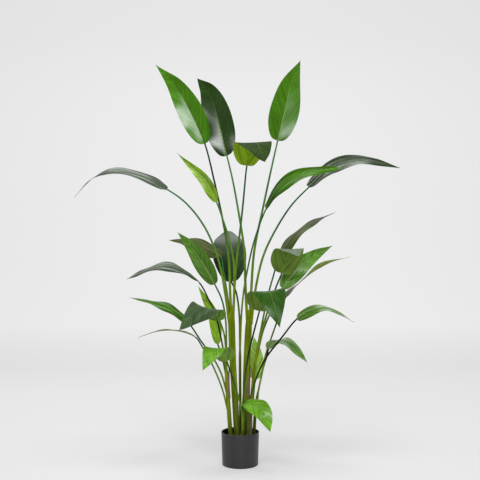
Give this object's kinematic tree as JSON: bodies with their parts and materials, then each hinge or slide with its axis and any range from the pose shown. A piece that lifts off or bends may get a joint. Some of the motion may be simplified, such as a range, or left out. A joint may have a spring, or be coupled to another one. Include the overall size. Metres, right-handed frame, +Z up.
{
  "type": "potted bird of paradise plant",
  "caption": "Tall clump of long-stalked, paddle-shaped glossy leaves that rise and arch from a small round pot of soil.",
  "frame": {"origin": "middle of the pot's underside, which stands on the floor", "axes": "+Z up along the plant, -Y towards the viewer of the picture, +X to the viewer's right"},
  "size_m": [1.4379, 0.6514, 1.8247],
  "materials": {
    "pot": "matte charcoal",
    "soil": "dark and rough",
    "stems": "satin olive green",
    "leaf_lime": "glossy yellow green",
    "leaf_bright": "glossy bright green",
    "leaf_deep": "glossy deep green",
    "leaf_olive": "glossy olive green",
    "dry_sheath": "dry brown husk"
  },
  "bodies": {
    "root": {"pot": "pot", "leaf_01": "leaf_bright", "leaf_03": "leaf_lime", "leaf_05": "leaf_lime", "leaf_06": "leaf_deep", "leaf_26": "leaf_olive", "shoot_a": "stems", "leaf_02": "leaf_deep", "leaf_04": "leaf_bright", "leaf_08": "leaf_deep", "shoot_b": "stems", "leaf_07": "leaf_bright", "leaf_25": "leaf_deep", "shoot_c": "stems", "leaf_09": "leaf_olive", "leaf_10": "leaf_deep", "leaf_11": "leaf_bright", "shoot_d": "stems", "leaf_19": "leaf_lime", "leaf_20": "leaf_deep", "leaf_21": "leaf_bright", "leaf_22": "leaf_olive", "leaf_23": "leaf_deep", "leaf_24": "leaf_bright", "shoot_e": "stems", "leaf_12": "leaf_olive", "leaf_15": "leaf_deep", "shoot_f": "stems", "leaf_17": "leaf_lime", "leaf_18": "leaf_lime", "shoot_g": "stems", "leaf_13": "leaf_deep", "shoot_h": "stems", "leaf_14": "leaf_bright", "shoot_i": "stems", "leaf_16": "leaf_lime", "shoot_j": "stems", "soil": "soil", "sheath_1": "dry_sheath", "sheath_2": "dry_sheath", "sheath_3": "dry_sheath"}
  },
  "joints": []
}
